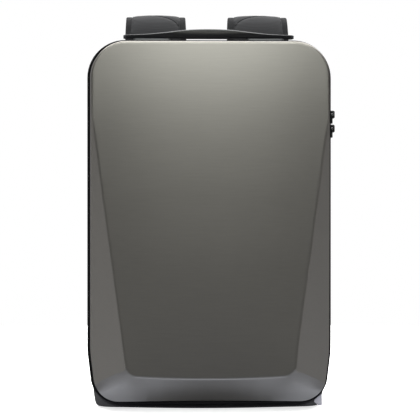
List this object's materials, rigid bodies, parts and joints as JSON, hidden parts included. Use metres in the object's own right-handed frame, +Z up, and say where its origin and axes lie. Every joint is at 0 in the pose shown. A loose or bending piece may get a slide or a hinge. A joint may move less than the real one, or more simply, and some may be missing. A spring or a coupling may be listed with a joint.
{
  "type": "anti-theft backpack",
  "caption": "Hard-shell laptop backpack: faceted moulded front zipped to a soft black body, padded shoulder straps and a low top handle.",
  "frame": {"origin": "middle of the flat base, on the floor", "axes": "+Z up; the hard shell faces -Y; +X is to the right seen from the front"},
  "size_m": [0.318, 0.2253, 0.5208],
  "materials": {
    "shell": "satin metallic taupe-grey with a fine grain",
    "piping": "smooth black",
    "zip": "black woven tape and teeth",
    "cloth": "black close weave",
    "padding": "dark grey cloth over foam",
    "webbing": "black webbing",
    "buckle": "black moulded",
    "grey_tab": "grey webbing",
    "grip": "satin black",
    "zip_metal": "black enamel"
  },
  "bodies": {
    "bag": {"front_shell": "shell", "rim_piping": "piping", "zip_tape": "zip", "rear_body": "cloth", "back_pad": "padding", "strap_left": "padding", "strap_right": "padding", "webbing_left": "webbing", "webbing_right": "webbing", "buckle_left": "buckle", "buckle_right": "buckle", "anchor_tab_left": "webbing", "anchor_tab_right": "webbing", "corner_tab": "grey_tab", "carry_handle": "grip", "handle_foot_left": "grip", "handle_foot_right": "grip", "slider_upper": "zip_metal", "slider_lower": "zip_metal"},
    "pull_upper": {"pull_upper": "zip_metal"},
    "pull_lower": {"pull_lower": "zip_metal"}
  },
  "joints": [
    {"name": "pull_upper_swing", "type": "hinge", "parent": "bag", "child": "pull_upper", "pos_m": [0.1584, -0.05, 0.38], "axis": [0, -1, 0], "range_deg": [0, 170]},
    {"name": "pull_lower_swing", "type": "hinge", "parent": "bag", "child": "pull_lower", "pos_m": [0.1584, -0.05, 0.362], "axis": [0, -1, 0], "range_deg": [0, 140]}
  ]
}
